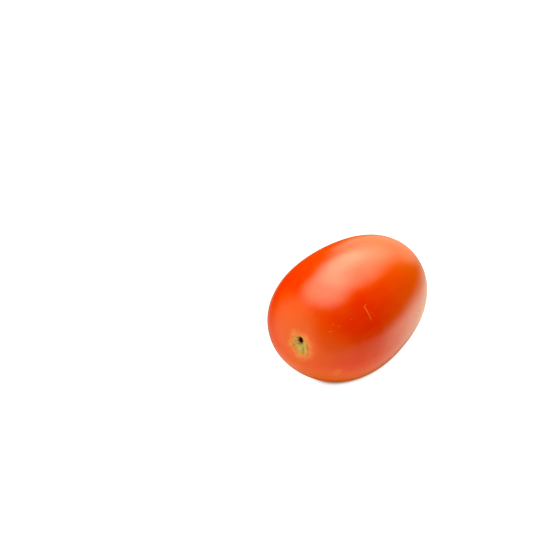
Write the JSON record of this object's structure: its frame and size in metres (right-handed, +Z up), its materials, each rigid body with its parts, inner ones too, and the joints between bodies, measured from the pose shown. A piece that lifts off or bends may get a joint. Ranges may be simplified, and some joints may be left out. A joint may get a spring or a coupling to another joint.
{
  "type": "plum tomato",
  "caption": "Ripe plum tomato without its stalk, lying on its side: a blunt egg-shaped fruit with a corky stem scar in a shallow dimple and a small dry blossom point.",
  "frame": {"origin": "on the surface that the fruit rests on, under the middle of its bounding box", "axes": "+Z up, +X along the fruit from its stem end to its blossom end, and Y across it; the stem end is raised by 3.8 degrees, as the fruit lies"},
  "size_m": [0.0774, 0.052, 0.049],
  "materials": {
    "skin": "smooth, glossy, orange-red ripe tomato skin, more orange at the stem end, with a tan corky stem scar"
  },
  "bodies": {
    "root": {"tomato": "skin"}
  },
  "joints": []
}
